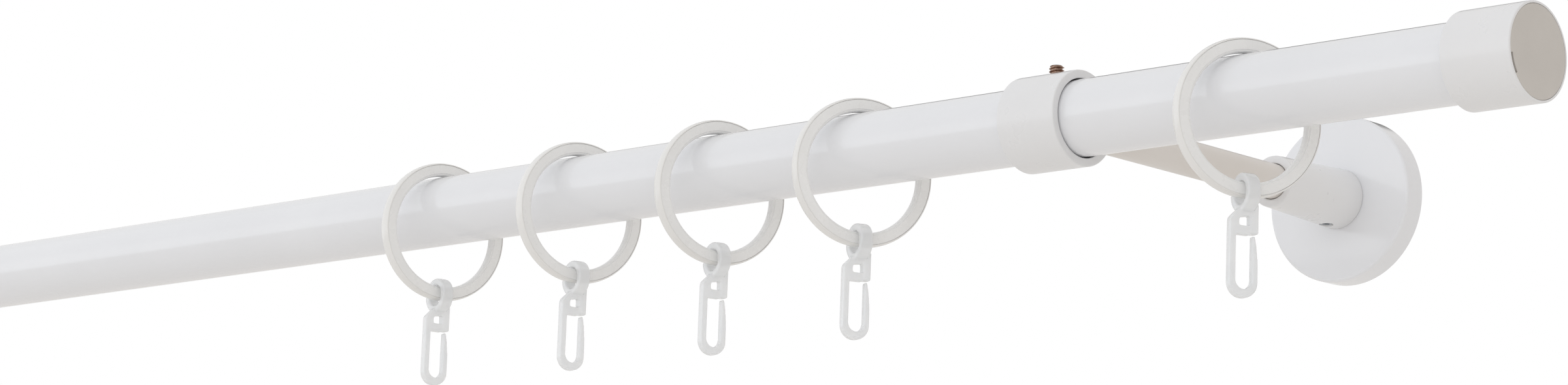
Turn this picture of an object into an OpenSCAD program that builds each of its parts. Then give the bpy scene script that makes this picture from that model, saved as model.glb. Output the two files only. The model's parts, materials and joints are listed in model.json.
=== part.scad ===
// Curtain rod set: a tube rod in two wall brackets, with end caps, rings and curtain hooks.
// Origin: on the wall plane, midway between the brackets, at the height of the rod's axis.
// X runs along the rod, +Y points into the wall, +Z is up.

/* [Rod] */
// Length of the rod tube
rod_len = 1200; // [900:10:1800]
// Outer diameter of the rod tube
rod_d = 20; // [16:0.5:25]
// Wall of the rod tube
rod_wall = 0.8; // [0.5:0.1:1.2]

/* [Rod holder sleeve] */
// Distance from the end of the rod to the axis of its bracket
bracket_inset = 141.5; // [118:0.5:200]
// Length of the sleeve along the rod
sleeve_len = 18.7; // [15:0.1:24]
// Wall of the sleeve
sleeve_wall = 2.2; // [1.8:0.1:3]
// Radial gap between the rod and the sleeve
sleeve_gap = 0.31; // [0.2:0.01:0.5]
// Chamfer on the rims of the sleeve and the end caps
rim_chamfer = 0.4; // [0.2:0.1:0.6]

/* [Arm and wall socket] */
// Distance from the wall to the axis of the rod
reach = 129.5; // [108:0.5:156]
// Diameter of the arm
arm_d = 9.6; // [8:0.1:11.5]
// Gap between the inner end of the arm and the wall
arm_end_gap = 4; // [3.5:0.1:6]
// Length of the socket in front of the rosette
socket_len = 30.3; // [25:0.1:37]
// Wall of the socket at its front rim
socket_rim_wall = 1.5; // [1.2:0.1:2.2]
// How much the socket's radius grows from its rim to the rosette
socket_flare = 1.3; // [0.5:0.1:2]
// Radial gap round the arm at the mouth of the socket
mouth_gap = 0.8; // [0.5:0.1:1.1]
// Depth of the wide mouth of the socket
mouth_depth = 4.5; // [3:0.1:7]
// Radial gap between the arm and the socket's guide bore
arm_gap = 0.08; // [0.05:0.01:0.1]
// Distance from the rosette to the axis of the grub screw under the socket
socket_screw_out = 5.5; // [4.5:0.1:8]

/* [Rosette and wall plate] */
// Outer diameter of the rosette
rosette_d = 46.4; // [40:0.1:56]
// Depth of the rosette from its face to the wall
rosette_depth = 7; // [6:0.1:8.5]
// Wall of the rosette
rosette_wall = 1.6; // [1.2:0.1:2]
// Diameter of the hidden wall plate
plate_d = 40; // [38.5:0.5:42]
// Thickness of the wall plate
plate_t = 2.5; // [2:0.1:3]
// Outer diameter of the wall plate's threaded hub
hub_d = 19; // [18:0.1:19.5]
// Diameter of the screw holes in the wall plate
screw_hole_d = 4.5; // [4:0.1:5]
// Distance between the two screw holes of one wall plate
screw_spacing = 29; // [28:0.5:30]

/* [Fasteners] */
// Thread diameter of the lock screws
lock_d = 4; // [3:0.5:5]
// Length of the lock screw that clamps the rod
rod_lock_len = 4.7; // [4:0.1:6]
// Across-flats size of the lock screws' hex sockets
hex_af = 2; // [1.5:0.1:2.2]
// Thread diameter of the screw that joins the sleeve to its arm
joint_screw_d = 4; // [3:0.5:4]
// Length of the screw that joins the sleeve to its arm
joint_screw_len = 14; // [10:0.5:18]
// Radial gap round each thread
thread_gap = 0.05; // [0.03:0.01:0.08]

/* [End caps] */
// Overall length of an end cap
cap_len = 19.7; // [17:0.1:24]
// How far the rod goes into an end cap
cap_grip = 15; // [12:0.1:16]
// Wall of the end cap
cap_wall = 2.15; // [1.6:0.05:2.6]
// Radial gap between the rod and the end cap
cap_gap = 0.05; // [0.03:0.01:0.1]
// Thickness of the disc that closes the cap's face
disc_t = 1.4; // [1:0.1:2]
// Width of the cap's lip round the disc
disc_lip = 0.6; // [0.4:0.1:0.9]
// Length of the plug inside the rod
plug_len = 12; // [9:0.5:14]
// Number of gripping fins on the plug
plug_fins = 6; // [4:1:8]

/* [Curtain rings] */
// Inner diameter of a curtain ring
ring_id = 33; // [31:0.1:41]
// Radial thickness of the ring's plastic liner
liner_t = 3.1; // [1.8:0.05:3.4]
// Thickness of the ring's outer metal band
band_t = 0.6; // [0.3:0.05:0.7]
// Width of a ring along the rod
ring_w = 3.4; // [3:0.1:4.8]
// Height of the ring's inner top above the top of the rod
ring_lift = 0.4; // [0.4:0.1:1.2]
// Places of the inner rings, measured from the sleeve's outer face towards the middle of the rod
ring_places = [75.8, 128.2, 183.2, 239.8];
// Turns of the inner rings about the vertical, in degrees
ring_turns = [22, 15, 12.5, 10];
// Place of the outer ring, measured from the sleeve's outer face towards the end of the rod
outer_ring_place = 52; // [35:0.5:60]
// Turn of the outer ring about the vertical, in degrees
outer_ring_turn = 24.5; // [0:0.5:26]

/* [Curtain hooks] */
// Radius of the hole in the hook's eye
eye_hole_r = 3; // [2.9:0.05:3.3]
// Wall of the hook's eye
eye_wall = 2; // [1.2:0.1:2.4]
// Width of the hook's eye along the ring
eye_w = 3.6; // [3:0.1:4.5]
// Thickness of the flat body of a hook
hook_t = 2.2; // [1.8:0.1:2.8]
// Overall height of a hook
hook_h = 31.3; // [28:0.1:40]
// Width of the hook's long front bar
bar_w = 1.75; // [1.4:0.05:2.2]
// Clear width inside the hook's loop
loop_gap = 4.66; // [4.2:0.01:5.6]
// Width of the snap slit in the hook's eye
slit_w = 0.3; // [0.2:0.05:0.4]

/* [Hidden] */
sides = ["left", "right"];
paired_parts = [
    "wall_plate", "rosette", "socket", "socket_screw", "arm", "sleeve", "sleeve_screw",
    "rod_lock_screw", "end_cap", "cap_disc", "cap_plug"
];
ring_parts = ["ring_band", "ring_liner", "hook"];
$fn = 96;

// A hair of overlap for clean cuts
eps = 0.01;

// Rod
rod_r = rod_d / 2;
rod_bore_r = rod_r - rod_wall;

// Sleeve
sleeve_r = rod_r + sleeve_gap + sleeve_wall;
sleeve_bore_r = rod_r + sleeve_gap;
bracket_x = rod_len / 2 - bracket_inset;
sleeve_face_x = bracket_x + sleeve_len / 2;

// Arm and socket, measured out from the wall
arm_r = arm_d / 2;
arm_tip = reach - sleeve_r;
socket_rim = rosette_depth + socket_len;
socket_bore_r = arm_r + arm_gap;
mouth_r = arm_r + mouth_gap;
socket_rim_r = mouth_r + socket_rim_wall;
socket_base_r = socket_rim_r + socket_flare;
spigot_wall = 2.1;
spigot_r = socket_bore_r + spigot_wall;
spigot_end_gap = 0.5;
socket_screw_y = rosette_depth + socket_screw_out;
socket_screw_r = socket_rim_r + socket_flare * (socket_rim - socket_screw_y) / socket_len;

// Rosette
rosette_r = rosette_d / 2;
rosette_corner = 0.8;

// Lock screws
lock_r = lock_d / 2 - thread_gap;
lock_hole_r = lock_d / 2;
lock_seat = 0.05;
hex_depth = 2;
hex_r = hex_af / 2 / cos(30);
screw_chamfer = 0.35;

// Screw between sleeve and arm
joint_head_r = 3.4;
joint_head_t = 1.4;
joint_recess = 0.05;
joint_r = joint_screw_d / 2 - thread_gap;
joint_hole_r = joint_screw_d / 2;
joint_head_y = reach - sleeve_bore_r - joint_recess;

// End caps
cap_r = rod_r + cap_gap + cap_wall;
cap_face_x = rod_len / 2 + cap_len - cap_grip;
cap_back_x = rod_len / 2 - cap_grip;
disc_r = cap_r - disc_lip;
disc_gap = 0.04;
plug_core_r = 6;
plug_stub_r = 3;
plug_gap = 0.05;
fin_t = 1.4;
fin_inset = 1;

// Rings
ring_bore_r = ring_id / 2;
liner_r = ring_bore_r + liner_t;
ring_r = liner_r + band_t;
ring_z = rod_r + ring_lift - ring_bore_r;
ring_chamfer = 0.45;
band_chamfer = 0.2;
liner_step = 0.15;
ring_xs = concat([for (place = ring_places) sleeve_face_x - place], [sleeve_face_x + outer_ring_place]);
ring_angles = concat(ring_turns, [outer_ring_turn]);

// Hooks: u runs along the ring's underside towards the wall, v is up, both from the eye's centre
eye_r = eye_hole_r + eye_wall;
eye_drop = 0.5;
eye_z = -(ring_bore_r + (liner_t + band_t) / 2) - eye_drop;
hook_low = eye_r - hook_h;
bar_u = -4.7;
loop_u = bar_u + bar_w;
prong_u = loop_u + loop_gap;
prong_w = 1.52;
prong_tip_w = 0.45;
outer_u = prong_u + prong_w;
bow_r = (outer_u - bar_u) / 2;
bow_t = 2.2;
block_u = [0.9, 3.1];
block_v = [-10.35, -3.3];
block_corner = 0.9;
cross_v = [-10.6, -8.25];
window_u = -2.1;
window_v = -6.1;
window_corner = 0.8;
prong_gap = 0.4;
shoulder = [[0.2, -3.3], [-1.2, -3.5], [-2.2, -4.1], [-4.4, -6.3], [bar_u, -7.3]];

// ---------- placing ----------

// Draws its children at the right bracket, or mirrored at the left one
module at_bracket(side) {
    mirror([side == "left" ? 1 : 0, 0, 0]) translate([bracket_x, 0, 0]) children();
}

// Turns a shape drawn along +Z so that it runs out from the wall
module out_from_wall() {
    rotate([90, 0, 0]) children();
}

// Turns a shape drawn along +Z so that it runs along the rod towards +X
module along_rod() {
    rotate([90, 0, 90]) children();
}

// Draws its children on the rod's axis at the right end, or mirrored at the left one
module at_rod_end(side) {
    mirror([side == "left" ? 1 : 0, 0, 0]) translate([0, -reach, 0]) children();
}

// Draws its children at the centre of a ring, with the ring's axis along X
module at_ring(side, n) {
    mirror([side == "left" ? 1 : 0, 0, 0])
        translate([ring_xs[n - 1], -reach, ring_z])
            rotate([0, 0, -ring_angles[n - 1]]) children();
}

// ---------- wall side ----------

// Steel disc screwed to the wall, with a threaded hub for the socket
module wall_plate(side) {
    hub_top = rosette_depth - rosette_wall;
    color("silver") at_bracket(side) out_from_wall() difference() {
        union() {
            cylinder(h = plate_t, d = plate_d);
            cylinder(h = hub_top, d = hub_d);
        }
        translate([0, 0, -eps]) cylinder(h = hub_top + 2 * eps, r = spigot_r + thread_gap);
        for (turn = [0, 180]) rotate([0, 0, turn])
            translate([0, screw_spacing / 2, -eps]) cylinder(h = plate_t + 2 * eps, d = screw_hole_d);
    }
}

// Round cover cup over the wall plate, with a hole for the socket's spigot
module rosette(side) {
    r = rosette_r;
    c = rosette_corner;
    color("white") at_bracket(side) out_from_wall() rotate_extrude() difference() {
        polygon(concat(
            [[spigot_r + thread_gap, 0], [r, 0]],
            [for (a = [0:15:90]) [r - c + c * cos(a), rosette_depth - c + c * sin(a)]],
            [[spigot_r + thread_gap, rosette_depth]]));
        translate([0, -eps]) square([r - rosette_wall, rosette_depth - rosette_wall + eps]);
    }
}

// Flared tube that holds the arm, screwed through the rosette into the wall plate
module socket(side) {
    color("white") at_bracket(side) difference() {
        out_from_wall() rotate_extrude() polygon([
            [socket_bore_r, spigot_end_gap],
            [spigot_r, spigot_end_gap],
            [spigot_r, rosette_depth],
            [socket_base_r, rosette_depth],
            [socket_rim_r, socket_rim - rim_chamfer],
            [socket_rim_r - rim_chamfer, socket_rim],
            [mouth_r, socket_rim],
            [mouth_r, socket_rim - mouth_depth],
            [socket_bore_r, socket_rim - mouth_depth - (mouth_r - socket_bore_r)]
        ]);
        translate([0, -socket_screw_y, -socket_base_r - eps]) cylinder(h = socket_base_r, r = lock_hole_r);
    }
}

// Headless screw with a hex socket, point at z = 0 and drive end at z = len
module grub_screw(len) {
    color("peru") difference() {
        union() {
            cylinder(h = screw_chamfer, r1 = lock_r - screw_chamfer, r2 = lock_r);
            translate([0, 0, screw_chamfer]) cylinder(h = len - 2 * screw_chamfer, r = lock_r);
            translate([0, 0, len - screw_chamfer])
                cylinder(h = screw_chamfer, r1 = lock_r, r2 = lock_r - screw_chamfer);
        }
        translate([0, 0, len - hex_depth]) cylinder(h = hex_depth + eps, r = hex_r, $fn = 6);
    }
}

// Lock screw under the socket, its drive end just inside the socket's surface
module socket_screw(side) {
    len = socket_screw_r - arm_r - lock_seat - screw_chamfer;
    at_bracket(side) translate([0, -socket_screw_y, -arm_r - lock_seat])
        rotate([180, 0, 0]) grub_screw(len);
}

// ---------- arm and sleeve ----------

// Round bar from the sleeve into the socket, its tip hollowed to seat on the sleeve
module arm(side) {
    tap_depth = 16;
    color("gainsboro") at_bracket(side) difference() {
        out_from_wall() translate([0, 0, arm_end_gap]) cylinder(h = reach - arm_end_gap, r = arm_r);
        translate([0, -reach, 0]) along_rod() cylinder(h = 2 * sleeve_len, r = sleeve_r, center = true);
        out_from_wall() translate([0, 0, arm_tip - tap_depth])
            cylinder(h = tap_depth + sleeve_wall, r = joint_hole_r);
    }
}

// Half section of the sleeve's wall, x is the radius and y runs along the rod
module sleeve_section() {
    h = sleeve_len / 2;
    c = rim_chamfer;
    polygon([
        [sleeve_bore_r, -h], [sleeve_r - c, -h], [sleeve_r, -h + c],
        [sleeve_r, h - c], [sleeve_r - c, h], [sleeve_bore_r, h]
    ]);
}

// Short tube that holds the rod, with a tapped hole on top and a countersunk one towards the arm
module sleeve(side) {
    color("white") at_bracket(side) difference() {
        translate([0, -reach, 0]) along_rod() rotate_extrude() sleeve_section();
        translate([0, -reach, 0]) cylinder(h = sleeve_r + eps, r = lock_hole_r);
        translate([0, -joint_head_y, 0]) rotate([-90, 0, 0]) {
            cylinder(h = sleeve_wall + 1, r = joint_hole_r);
            translate([0, 0, -1]) cylinder(h = 1 + thread_gap, r = joint_head_r + thread_gap);
            translate([0, 0, thread_gap]) cylinder(
                h = joint_head_t, r1 = joint_head_r + thread_gap, r2 = joint_hole_r);
        }
    }
}

// Countersunk screw from inside the sleeve into the arm
module sleeve_screw(side) {
    color("silver") at_bracket(side) translate([0, -joint_head_y, 0]) rotate([-90, 0, 0]) difference() {
        union() {
            cylinder(h = joint_head_t, r1 = joint_head_r, r2 = joint_r);
            cylinder(h = joint_screw_len, r = joint_r);
        }
        translate([0, 0, -eps]) cylinder(h = joint_head_t, r = hex_r, $fn = 6);
    }
}

// Lock screw on top of the sleeve that bears on the rod
module rod_lock_screw(side) {
    at_bracket(side) translate([0, -reach, rod_r + lock_seat]) grub_screw(rod_lock_len);
}

// ---------- rod and end caps ----------

// Rod tube
module rod_tube() {
    color("white") translate([0, -reach, 0]) along_rod() difference() {
        cylinder(h = rod_len, r = rod_r, center = true);
        cylinder(h = rod_len + 2 * eps, r = rod_bore_r, center = true);
    }
}

// Cup that slides over the end of the rod
module end_cap(side) {
    c = rim_chamfer;
    bore = rod_r + cap_gap;
    web = rod_len / 2 + cap_gap;
    color("white") at_rod_end(side) along_rod() rotate_extrude() polygon([
        [bore, cap_back_x],
        [cap_r - c, cap_back_x],
        [cap_r, cap_back_x + c],
        [cap_r, cap_face_x - c / 2],
        [cap_r - c / 2, cap_face_x],
        [disc_r, cap_face_x],
        [disc_r, cap_face_x - disc_t],
        [plug_stub_r + disc_gap, cap_face_x - disc_t],
        [plug_stub_r + disc_gap, web],
        [bore, web]
    ]);
}

// Flat disc pressed into the face of the cap
module cap_disc(side) {
    color("lightgray") at_rod_end(side) along_rod() translate([0, 0, cap_face_x - disc_t])
        cylinder(h = disc_t, r = disc_r - disc_gap);
}

// Finned plug that centres the cap in the bore of the rod
module cap_plug(side) {
    inner_x = rod_len / 2 - plug_len;
    fin_r = rod_bore_r - plug_gap;
    fin_reach = sqrt(fin_r * fin_r - fin_t * fin_t / 4);
    fin_root = plug_core_r - 1;
    color("dimgray") at_rod_end(side) along_rod() {
        rotate_extrude() polygon([
            [0, inner_x], [plug_core_r, inner_x], [plug_core_r, rod_len / 2],
            [plug_stub_r, rod_len / 2], [plug_stub_r, cap_face_x - disc_t], [0, cap_face_x - disc_t]
        ]);
        for (n = [0:plug_fins - 1]) rotate([0, 0, 360 * n / plug_fins])
            translate([fin_root, -fin_t / 2, inner_x + fin_inset])
                cube([fin_reach - fin_root, fin_t, plug_len - 2 * fin_inset]);
    }
}

// ---------- rings ----------

// Chamfered ring section, x is the radius and y runs along the ring's axis
module ring_section(r_in, r_out, half_w, c_in, c_out) {
    polygon([
        [r_in, -half_w + c_in], [r_in + c_in, -half_w], [r_out - c_out, -half_w],
        [r_out, -half_w + c_out], [r_out, half_w - c_out], [r_out - c_out, half_w],
        [r_in + c_in, half_w], [r_in, half_w - c_in]
    ]);
}

// Thin metal band round a ring
module ring_band(side, n) {
    color("white") at_ring(side, n) along_rod() rotate_extrude()
        ring_section(liner_r, ring_r, ring_w / 2, 0, band_chamfer);
}

// Plastic ring inside the band, which slides on the rod
module ring_liner(side, n) {
    color("gainsboro") at_ring(side, n) along_rod() rotate_extrude()
        ring_section(ring_bore_r, liner_r, ring_w / 2 - liner_step, ring_chamfer, 0);
}

// ---------- hooks ----------

// Points of an arc in the plane, from one angle to another
function arc(centre, r, from, to, steps = 6) =
    [for (k = [0:steps]) let (a = from + (to - from) * k / steps) centre + r * [cos(a), sin(a)]];

// Flat outline of a hook below its eye: shoulder, long bar and block, bow, and prong
module hook_outline() {
    bow_v = hook_low + bow_r;
    slot_v = hook_low + bow_t + loop_gap / 2;
    tip_v = block_v[0] - prong_gap;
    corner = block_corner;
    difference() {
        union() {
            polygon(concat(
                [[block_u[1], block_v[1]]], shoulder,
                [[bar_u, bow_v], [loop_u, bow_v], [loop_u, cross_v[0]], [block_u[0], cross_v[0]],
                 [block_u[0], block_v[0]]],
                arc([block_u[1] - corner, block_v[0] + corner], corner, -90, 0)));
            translate([bar_u + bow_r, bow_v]) circle(r = bow_r);
            polygon([
                [prong_u, bow_v], [outer_u, bow_v], [outer_u, bow_v + 4], [outer_u - 0.3, tip_v - 3.6],
                [prong_u + prong_tip_w, tip_v], [prong_u, tip_v]
            ]);
        }
        translate([loop_u + loop_gap / 2, slot_v]) circle(r = loop_gap / 2);
        translate([loop_u, slot_v]) square([loop_gap, cross_v[0] - slot_v]);
        polygon(concat(
            [[block_u[0], cross_v[1]], [block_u[0], window_v + 0.3]],
            arc([window_u + window_corner, window_v - window_corner], window_corner, 90, 180),
            [[window_u, cross_v[1]]]));
    }
}

// Clear hook: a round eye on the ring, and a flat loop with a springy prong
module hook(side, n) {
    color("aliceblue") at_ring(side, n) translate([0, 0, eye_z]) difference() {
        union() {
            rotate([90, 0, 0]) cylinder(h = eye_w, r = eye_r, center = true);
            rotate([90, 0, 90]) linear_extrude(height = hook_t, center = true) hook_outline();
        }
        rotate([90, 0, 0]) cylinder(h = 4 * eye_w, r = eye_hole_r, center = true);
        translate([-eye_r, -eye_w, -slit_w / 2]) cube([eye_wall + 1, 2 * eye_w, slit_w]);
    }
}

// ---------- nodes ----------

for (side = sides) {
    wall_plate(side);
    rosette(side);
    socket(side);
    socket_screw(side);
    arm(side);
    sleeve(side);
    sleeve_screw(side);
    rod_lock_screw(side);
    end_cap(side);
    cap_disc(side);
    cap_plug(side);
    for (n = [1:5]) {
        ring_band(side, n);
        ring_liner(side, n);
        hook(side, n);
    }
}
rod_tube();
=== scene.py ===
"""Curtain rod on two wall brackets, with end caps, curtain rings and clear snap-on hooks.

Every sub-assembly is a class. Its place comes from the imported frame, in metres. Its meshes are built in
millimetres, in the sub-assembly's own axes, and are moved to their place when they are finished.
"""

import json
import logging
import math
from dataclasses import dataclass, field
from enum import Enum
from typing import Any, Iterable

import bmesh
import bpy
from bmesh.types import BMesh
from mathutils import Matrix, Vector


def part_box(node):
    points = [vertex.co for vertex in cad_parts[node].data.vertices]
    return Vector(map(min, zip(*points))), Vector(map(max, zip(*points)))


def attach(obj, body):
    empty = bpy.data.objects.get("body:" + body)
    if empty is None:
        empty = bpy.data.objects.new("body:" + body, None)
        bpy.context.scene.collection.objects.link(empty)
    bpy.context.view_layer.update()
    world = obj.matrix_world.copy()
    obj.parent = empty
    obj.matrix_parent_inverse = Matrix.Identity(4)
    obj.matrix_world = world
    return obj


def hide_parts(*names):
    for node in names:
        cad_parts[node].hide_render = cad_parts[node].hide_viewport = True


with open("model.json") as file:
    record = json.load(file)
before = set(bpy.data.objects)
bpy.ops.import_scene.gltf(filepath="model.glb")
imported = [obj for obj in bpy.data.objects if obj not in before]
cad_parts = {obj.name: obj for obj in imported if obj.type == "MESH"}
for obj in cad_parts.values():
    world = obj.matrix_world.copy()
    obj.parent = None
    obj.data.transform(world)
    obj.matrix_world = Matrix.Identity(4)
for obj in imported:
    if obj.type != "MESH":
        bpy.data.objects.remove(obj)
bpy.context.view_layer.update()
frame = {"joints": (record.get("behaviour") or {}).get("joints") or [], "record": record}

LOG = logging.getLogger("curtain_rod")

MM = 0.001
SIDES = {"left": -1, "right": 1}
RINGS_PER_SIDE = 5
LATHE_STEPS = 128
TAPPED = 2.0  # radius of every tapped hole, in mm

Corner = tuple[float, float, float]  # radius, height and rounding of a turned section's corner, in mm
Point2 = tuple[float, float]
Point3 = tuple[float, float, float]


# ---------------------------------------------------------------- colours and nodes


def linear(code: str) -> tuple[float, float, float, float]:
    """Turns an sRGB hex colour into linear RGBA.

    Args:
        code: Colour as "#RRGGBB".

    Returns:
        Linear red, green and blue, and an alpha of 1.
    """
    channels = [int(code[k : k + 2], 16) / 255 for k in (1, 3, 5)]
    return (*[c / 12.92 if c <= 0.04045 else ((c + 0.055) / 1.055) ** 2.4 for c in channels], 1.0)


def add_node(
    tree: bpy.types.NodeTree, kind: str, inputs: dict | None = None, **settings: Any
) -> bpy.types.Node:
    """Adds a shader node with its settings, values and links.

    Args:
        tree: Node tree to add to.
        kind: Name of the node type.
        inputs: Values by input name or number. An output socket is linked, anything else is a plain value.
        **settings: Attributes of the node.

    Returns:
        The new node.
    """
    made = tree.nodes.new(kind)
    for name, value in settings.items():
        setattr(made, name, value)
    for name, value in (inputs or {}).items():
        if isinstance(value, bpy.types.NodeSocket):
            tree.links.new(value, made.inputs[name])
        else:
            made.inputs[name].default_value = value
    return made


# ---------------------------------------------------------------- finishes


@dataclass(frozen=True)
class Finish:
    """What every finish has: a name, two close tints that drift into each other, and a roughness range."""

    name: str
    tint: str
    drift: str
    roughness: tuple[float, float]

    def material(self) -> bpy.types.Material:
        """Returns the material, and makes it the first time."""
        known = bpy.data.materials.get(self.name)
        if known:
            return known
        made = bpy.data.materials.new(self.name)
        made.use_nodes = True
        tree = made.node_tree
        tree.nodes.clear()
        where = add_node(tree, "ShaderNodeTexCoord").outputs["Object"]
        shader = self.shade(tree, where)
        add_node(tree, "ShaderNodeOutputMaterial", {"Surface": shader.outputs["BSDF"]})
        return made

    def shade(self, tree: bpy.types.NodeTree, where: bpy.types.NodeSocket) -> bpy.types.Node:
        """Builds the surface shader. Each finish has its own."""
        raise NotImplementedError

    def clouded(
        self, tree: bpy.types.NodeTree, where: bpy.types.NodeSocket, size: float
    ) -> bpy.types.NodeSocket:
        """Lets the two tints drift into each other.

        Args:
            tree: Node tree.
            where: Object coordinates.
            size: Width of a cloud, in mm.

        Returns:
            The colour.
        """
        cloud = add_node(
            tree, "ShaderNodeTexNoise", {"Vector": where, "Scale": 1 / (size * MM), "Detail": 3.0}
        )
        share = add_node(
            tree,
            "ShaderNodeMapRange",
            {"Value": cloud.outputs["Fac"], "From Min": 0.3, "From Max": 0.7},
        )
        return add_node(
            tree,
            "ShaderNodeMix",
            {0: share.outputs["Result"], 6: linear(self.tint), 7: linear(self.drift)},
            data_type="RGBA",
        ).outputs[2]

    def grained(
        self, tree: bpy.types.NodeTree, where: bpy.types.NodeSocket, size: float
    ) -> bpy.types.NodeSocket:
        """Varies the roughness between its two ends.

        Args:
            tree: Node tree.
            where: Object coordinates.
            size: Width of a patch, in mm.

        Returns:
            The roughness.
        """
        patch = add_node(
            tree, "ShaderNodeTexNoise", {"Vector": where, "Scale": 1 / (size * MM), "Detail": 4.0}
        )
        return add_node(
            tree,
            "ShaderNodeMapRange",
            {
                "Value": patch.outputs["Fac"],
                "From Min": 0.3,
                "From Max": 0.7,
                "To Min": self.roughness[0],
                "To Max": self.roughness[1],
            },
        ).outputs["Result"]


@dataclass(frozen=True)
class Lacquer(Finish):
    """Baked white lacquer on metal. The eye gets a clean milky film, soft orange peel and faint specks."""

    gloss: float = 1.0
    peel_height: float = 0.0008
    peel_size: float = 1.8

    def shade(self, tree: bpy.types.NodeTree, where: bpy.types.NodeSocket) -> bpy.types.Node:
        """White film, specks of dust under it, and orange peel."""
        film = self.clouded(tree, where, size=38.0)
        # dust nibs about 0.15 mm wide and some 11 mm apart
        dust = add_node(
            tree, "ShaderNodeTexVoronoi", {"Vector": where, "Scale": 1 / (11.0 * MM), "Randomness": 1.0}
        )
        nib = add_node(
            tree,
            "ShaderNodeMapRange",
            {
                "Value": dust.outputs["Distance"],
                "From Min": 0.006,
                "From Max": 0.014,
                "To Min": 0.1,
                "To Max": 0.0,
            },
        )
        colour = add_node(
            tree,
            "ShaderNodeMix",
            {0: nib.outputs["Result"], 6: film, 7: linear("#C6C3BF")},
            data_type="RGBA",
        )
        peel = add_node(
            tree,
            "ShaderNodeTexNoise",
            {"Vector": where, "Scale": 1 / (self.peel_size * MM), "Detail": 1.5, "Roughness": 0.4},
        )
        bump = add_node(
            tree,
            "ShaderNodeBump",
            {"Height": peel.outputs["Fac"], "Strength": 1.0, "Distance": self.peel_height * MM},
        )
        return add_node(
            tree,
            "ShaderNodeBsdfPrincipled",
            {
                "Base Color": colour.outputs[2],
                "Roughness": self.grained(tree, where, size=6.0),
                "IOR": 1.5,
                "Normal": bump.outputs["Normal"],
                "Coat Weight": self.gloss,
                "Coat Roughness": 0.06,
                "Coat IOR": 1.48,
            },
        )


@dataclass(frozen=True)
class MouldedPlastic(Finish):
    """Injection-moulded opaque plastic. The eye gets a dry satin skin with the mould's fine spark grain."""

    grain_size: float = 0.35
    grain_height: float = 0.002

    def shade(self, tree: bpy.types.NodeTree, where: bpy.types.NodeSocket) -> bpy.types.Node:
        """Satin skin with fine grain and slow flow marks."""
        grain = add_node(
            tree,
            "ShaderNodeTexNoise",
            {"Vector": where, "Scale": 1 / (self.grain_size * MM), "Detail": 2.0},
        )
        # melt that cooled at different times leaves faint waves about 7 mm apart
        flow = add_node(
            tree,
            "ShaderNodeTexNoise",
            {"Vector": where, "Scale": 1 / (7.0 * MM), "Detail": 1.0, "Distortion": 0.6},
        )
        height = add_node(
            tree,
            "ShaderNodeMath",
            {0: flow.outputs["Fac"], 1: 2.5, 2: grain.outputs["Fac"]},
            operation="MULTIPLY_ADD",
        )
        bump = add_node(
            tree,
            "ShaderNodeBump",
            {"Height": height.outputs["Value"], "Strength": 1.0, "Distance": self.grain_height * MM},
        )
        return add_node(
            tree,
            "ShaderNodeBsdfPrincipled",
            {
                "Base Color": self.clouded(tree, where, size=14.0),
                "Roughness": self.grained(tree, where, size=2.5),
                "IOR": 1.49,
                "Normal": bump.outputs["Normal"],
            },
        )


@dataclass(frozen=True)
class ClearPlastic(Finish):
    """Clear moulded polycarbonate. The eye gets a milky, half see-through body under a glossy skin."""

    flow_size: float = 1.6
    flow_height: float = 0.003

    def shade(self, tree: bpy.types.NodeTree, where: bpy.types.NodeSocket) -> bpy.types.Node:
        """Milky body that lets the background through, faint flow lines, and a clear skin."""
        flow = add_node(
            tree,
            "ShaderNodeTexNoise",
            {"Vector": where, "Scale": 1 / (self.flow_size * MM), "Detail": 2.0, "Distortion": 0.8},
        )
        bump = add_node(
            tree,
            "ShaderNodeBump",
            {"Height": flow.outputs["Fac"], "Strength": 1.0, "Distance": self.flow_height * MM},
        )
        return add_node(
            tree,
            "ShaderNodeBsdfPrincipled",
            {
                "Base Color": self.clouded(tree, where, size=5.0),
                "Roughness": self.grained(tree, where, size=1.5),
                "IOR": 1.46,
                "Alpha": 0.7,
                "Transmission Weight": 0.15,
                "Coat Weight": 1.0,
                "Coat Roughness": 0.05,
                "Coat IOR": 1.58,
                "Normal": bump.outputs["Normal"],
            },
        )


@dataclass(frozen=True)
class PlatedMetal(Finish):
    """Plated steel. The eye gets a bright skin broken into fine crystals, and duller spots."""

    crystal_size: float = 0.5
    crystal_height: float = 0.003

    def shade(self, tree: bpy.types.NodeTree, where: bpy.types.NodeSocket) -> bpy.types.Node:
        """Bright metal with a crystal pattern in its tint and its surface."""
        crystals = add_node(
            tree, "ShaderNodeTexVoronoi", {"Vector": where, "Scale": 1 / (self.crystal_size * MM)}
        )
        spot = add_node(
            tree,
            "ShaderNodeMix",
            {0: crystals.outputs["Color"], 6: linear(self.tint), 7: linear(self.drift)},
            data_type="RGBA",
        )
        bump = add_node(
            tree,
            "ShaderNodeBump",
            {
                "Height": crystals.outputs["Distance"],
                "Strength": 1.0,
                "Distance": self.crystal_height * MM,
            },
        )
        return add_node(
            tree,
            "ShaderNodeBsdfPrincipled",
            {
                "Base Color": spot.outputs[2],
                "Metallic": 1.0,
                "Roughness": self.grained(tree, where, size=1.2),
                "Normal": bump.outputs["Normal"],
            },
        )


# gloss lacquer on the steel tube and the pressed rosettes: cool white with clear reflections
GLOSS_WHITE = Lacquer("gloss_white_lacquer", "#ECEDF0", "#E9EAED", (0.14, 0.2))
# satin lacquer on die-cast zinc: a neutral white, with broader and softer highlights
SATIN_WHITE = Lacquer(
    "satin_white_lacquer", "#EAEAEB", "#E6E6E7", (0.27, 0.3), gloss=0.45, peel_height=0.0004
)
# the arm's drawn bar has the same white lacquer; its greyer, warmer tint is painted shade for a bar that
# faces down into shadow
SHADED_BAR_WHITE = Lacquer(
    "shaded_satin_white_bar_lacquer", "#E2DDD8", "#DDD7D1", (0.3, 0.34), gloss=0.2, peel_height=0.0006
)
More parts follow.
